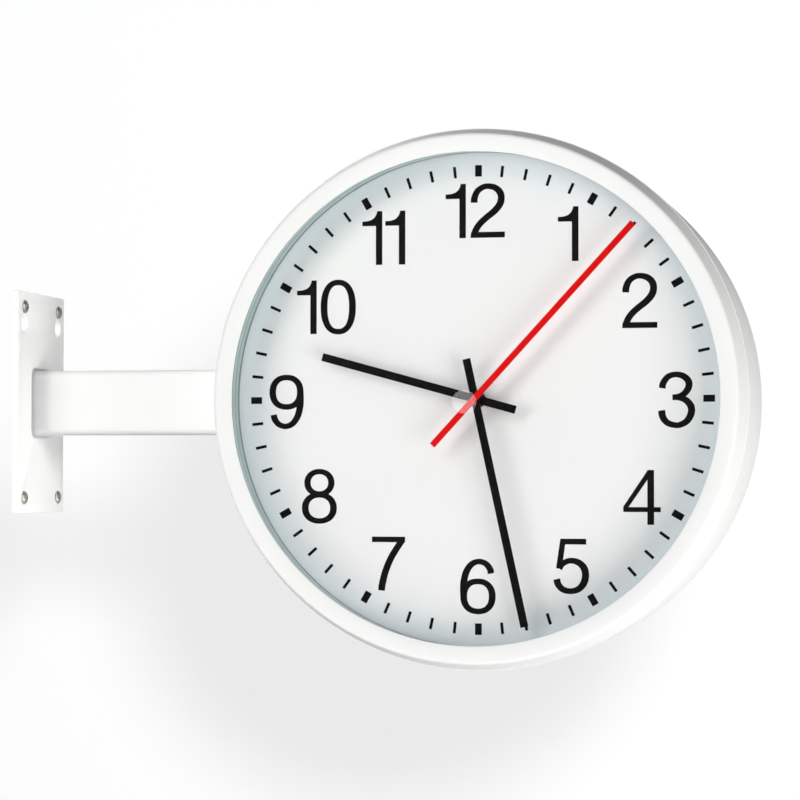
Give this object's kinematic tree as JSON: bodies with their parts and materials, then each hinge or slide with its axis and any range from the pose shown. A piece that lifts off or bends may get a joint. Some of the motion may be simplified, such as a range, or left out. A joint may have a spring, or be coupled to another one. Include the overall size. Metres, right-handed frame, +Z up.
{
  "type": "double sided station clock",
  "caption": "Round double sided analogue clock in a white drum case, carried edge-on from a wall plate by a rectangular arm, with a quartz gear train behind each dial.",
  "frame": {"origin": "centre of the wall plate's back face", "axes": "+X out from the wall along the arm to the clock, the front dial looks along -Y and the rear dial along +Y, +Z up"},
  "size_m": [0.566, 0.16, 0.4],
  "materials": {
    "white_coat": "satin powder coat",
    "dial_face": "matt white print ground",
    "bare_aluminium": "mill",
    "zinc_steel": "zinc plated",
    "float_glass": "clear",
    "seal_rubber": "matt",
    "black_plastic": "moulded",
    "train_plastic": "natural acetal",
    "motor_iron": "laminated",
    "coil_copper": "enamelled wire",
    "board_green": "solder mask",
    "cell_jacket": "wrapped",
    "spring_brass": "nickel strip",
    "black_hand": "satin black",
    "red_hand": "satin red",
    "black_nut": "blackened"
  },
  "bodies": {
    "root": {"wall_plate": "white_coat", "wall_screws": "zinc_steel", "bracket_arm": "white_coat", "arm_plug": "zinc_steel", "arm_clamp": "zinc_steel", "arm_bolts": "zinc_steel", "case_drum": "white_coat", "dial_carrier": "bare_aluminium", "bezel_screws": "zinc_steel", "front_bezel": "white_coat", "front_gasket": "seal_rubber", "front_glass": "float_glass", "front_spacer_ring": "bare_aluminium", "front_dial": "dial_face", "front_bush_nut": "black_nut", "front_movement_case": "black_plastic", "front_movement_cover": "black_plastic", "front_train_bridge": "train_plastic", "front_stator": "motor_iron", "front_coil": "coil_copper", "front_circuit_board": "board_green", "front_battery": "cell_jacket", "front_battery_contacts": "spring_brass", "rear_bezel": "white_coat", "rear_gasket": "seal_rubber", "rear_glass": "float_glass", "rear_spacer_ring": "bare_aluminium", "rear_dial": "dial_face", "rear_bush_nut": "black_nut", "rear_movement_case": "black_plastic", "rear_movement_cover": "black_plastic", "rear_train_bridge": "train_plastic", "rear_stator": "motor_iron", "rear_coil": "coil_copper", "rear_circuit_board": "board_green", "rear_battery": "cell_jacket", "rear_battery_contacts": "spring_brass"},
    "front_rotor": {"front_rotor": "motor_iron"},
    "front_step_wheel": {"front_step_wheel": "train_plastic"},
    "front_seconds": {"front_second_wheel": "train_plastic", "front_second_hand": "red_hand"},
    "front_third_wheel": {"front_third_wheel": "train_plastic"},
    "front_minutes": {"front_minute_wheel": "train_plastic", "front_minute_hand": "black_hand"},
    "front_motion_wheel": {"front_motion_wheel": "train_plastic"},
    "front_hours": {"front_hour_wheel": "train_plastic", "front_hour_hand": "black_hand"},
    "front_setting_knob": {"front_setting_knob": "black_plastic"},
    "rear_rotor": {"rear_rotor": "motor_iron"},
    "rear_step_wheel": {"rear_step_wheel": "train_plastic"},
    "rear_seconds": {"rear_second_wheel": "train_plastic", "rear_second_hand": "red_hand"},
    "rear_third_wheel": {"rear_third_wheel": "train_plastic"},
    "rear_minutes": {"rear_minute_wheel": "train_plastic", "rear_minute_hand": "black_hand"},
    "rear_motion_wheel": {"rear_motion_wheel": "train_plastic"},
    "rear_hours": {"rear_hour_wheel": "train_plastic", "rear_hour_hand": "black_hand"},
    "rear_setting_knob": {"rear_setting_knob": "black_plastic"}
  },
  "joints": [
    {"name": "front_rotor_turn", "type": "hinge", "parent": "root", "child": "front_rotor", "pos_m": [0.34239, 0, 0.00863], "axis": [0, 1, 0], "continuous": true},
    {"name": "front_step_wheel_turn", "type": "hinge", "parent": "root", "child": "front_step_wheel", "pos_m": [0.35109, 0, 0.0063], "axis": [0, 1, 0], "continuous": true},
    {"name": "front_seconds_turn", "type": "hinge", "parent": "root", "child": "front_seconds", "pos_m": [0.362, 0, 0], "axis": [0, 1, 0], "continuous": true},
    {"name": "front_third_wheel_turn", "type": "hinge", "parent": "root", "child": "front_third_wheel", "pos_m": [0.36965, 0, 0.01325], "axis": [0, 1, 0], "continuous": true},
    {"name": "front_minutes_turn", "type": "hinge", "parent": "root", "child": "front_minutes", "pos_m": [0.362, 0, 0], "axis": [0, 1, 0], "continuous": true},
    {"name": "front_motion_wheel_turn", "type": "hinge", "parent": "root", "child": "front_motion_wheel", "pos_m": [0.36879, 0, -0.00679], "axis": [0, 1, 0], "continuous": true},
    {"name": "front_hours_turn", "type": "hinge", "parent": "root", "child": "front_hours", "pos_m": [0.362, 0, 0], "axis": [0, 1, 0], "continuous": true},
    {"name": "front_setting_knob_turn", "type": "hinge", "parent": "root", "child": "front_setting_knob", "pos_m": [0.37959, 0, -0.00679], "axis": [0, 1, 0], "continuous": true},
    {"name": "rear_rotor_turn", "type": "hinge", "parent": "root", "child": "rear_rotor", "pos_m": [0.38161, 0, 0.00863], "axis": [0, -1, 0], "continuous": true},
    {"name": "rear_step_wheel_turn", "type": "hinge", "parent": "root", "child": "rear_step_wheel", "pos_m": [0.37291, 0, 0.0063], "axis": [0, -1, 0], "continuous": true},
    {"name": "rear_seconds_turn", "type": "hinge", "parent": "root", "child": "rear_seconds", "pos_m": [0.362, 0, 0], "axis": [0, -1, 0], "continuous": true},
    {"name": "rear_third_wheel_turn", "type": "hinge", "parent": "root", "child": "rear_third_wheel", "pos_m": [0.35435, 0, 0.01325], "axis": [0, -1, 0], "continuous": true},
    {"name": "rear_minutes_turn", "type": "hinge", "parent": "root", "child": "rear_minutes", "pos_m": [0.362, 0, 0], "axis": [0, -1, 0], "continuous": true},
    {"name": "rear_motion_wheel_turn", "type": "hinge", "parent": "root", "child": "rear_motion_wheel", "pos_m": [0.35521, 0, -0.00679], "axis": [0, -1, 0], "continuous": true},
    {"name": "rear_hours_turn", "type": "hinge", "parent": "root", "child": "rear_hours", "pos_m": [0.362, 0, 0], "axis": [0, -1, 0], "continuous": true},
    {"name": "rear_setting_knob_turn", "type": "hinge", "parent": "root", "child": "rear_setting_knob", "pos_m": [0.34441, 0, -0.00679], "axis": [0, -1, 0], "continuous": true}
  ],
  "couplings": [
    {"joint": "front_rotor_turn", "follows": "front_seconds_turn", "ratio": 30},
    {"joint": "front_step_wheel_turn", "follows": "front_seconds_turn", "ratio": -6},
    {"joint": "front_third_wheel_turn", "follows": "front_seconds_turn", "ratio": -0.13333},
    {"joint": "front_minutes_turn", "follows": "front_seconds_turn", "ratio": 0.016667},
    {"joint": "front_motion_wheel_turn", "follows": "front_seconds_turn", "ratio": -0.0055556},
    {"joint": "front_hours_turn", "follows": "front_seconds_turn", "ratio": 0.0013889},
    {"joint": "front_setting_knob_turn", "follows": "front_seconds_turn", "ratio": 0.011111},
    {"joint": "rear_rotor_turn", "follows": "rear_seconds_turn", "ratio": 30},
    {"joint": "rear_step_wheel_turn", "follows": "rear_seconds_turn", "ratio": -6},
    {"joint": "rear_third_wheel_turn", "follows": "rear_seconds_turn", "ratio": -0.13333},
    {"joint": "rear_minutes_turn", "follows": "rear_seconds_turn", "ratio": 0.016667},
    {"joint": "rear_motion_wheel_turn", "follows": "rear_seconds_turn", "ratio": -0.0055556},
    {"joint": "rear_hours_turn", "follows": "rear_seconds_turn", "ratio": 0.0013889},
    {"joint": "rear_setting_knob_turn", "follows": "rear_seconds_turn", "ratio": 0.011111}
  ]
}
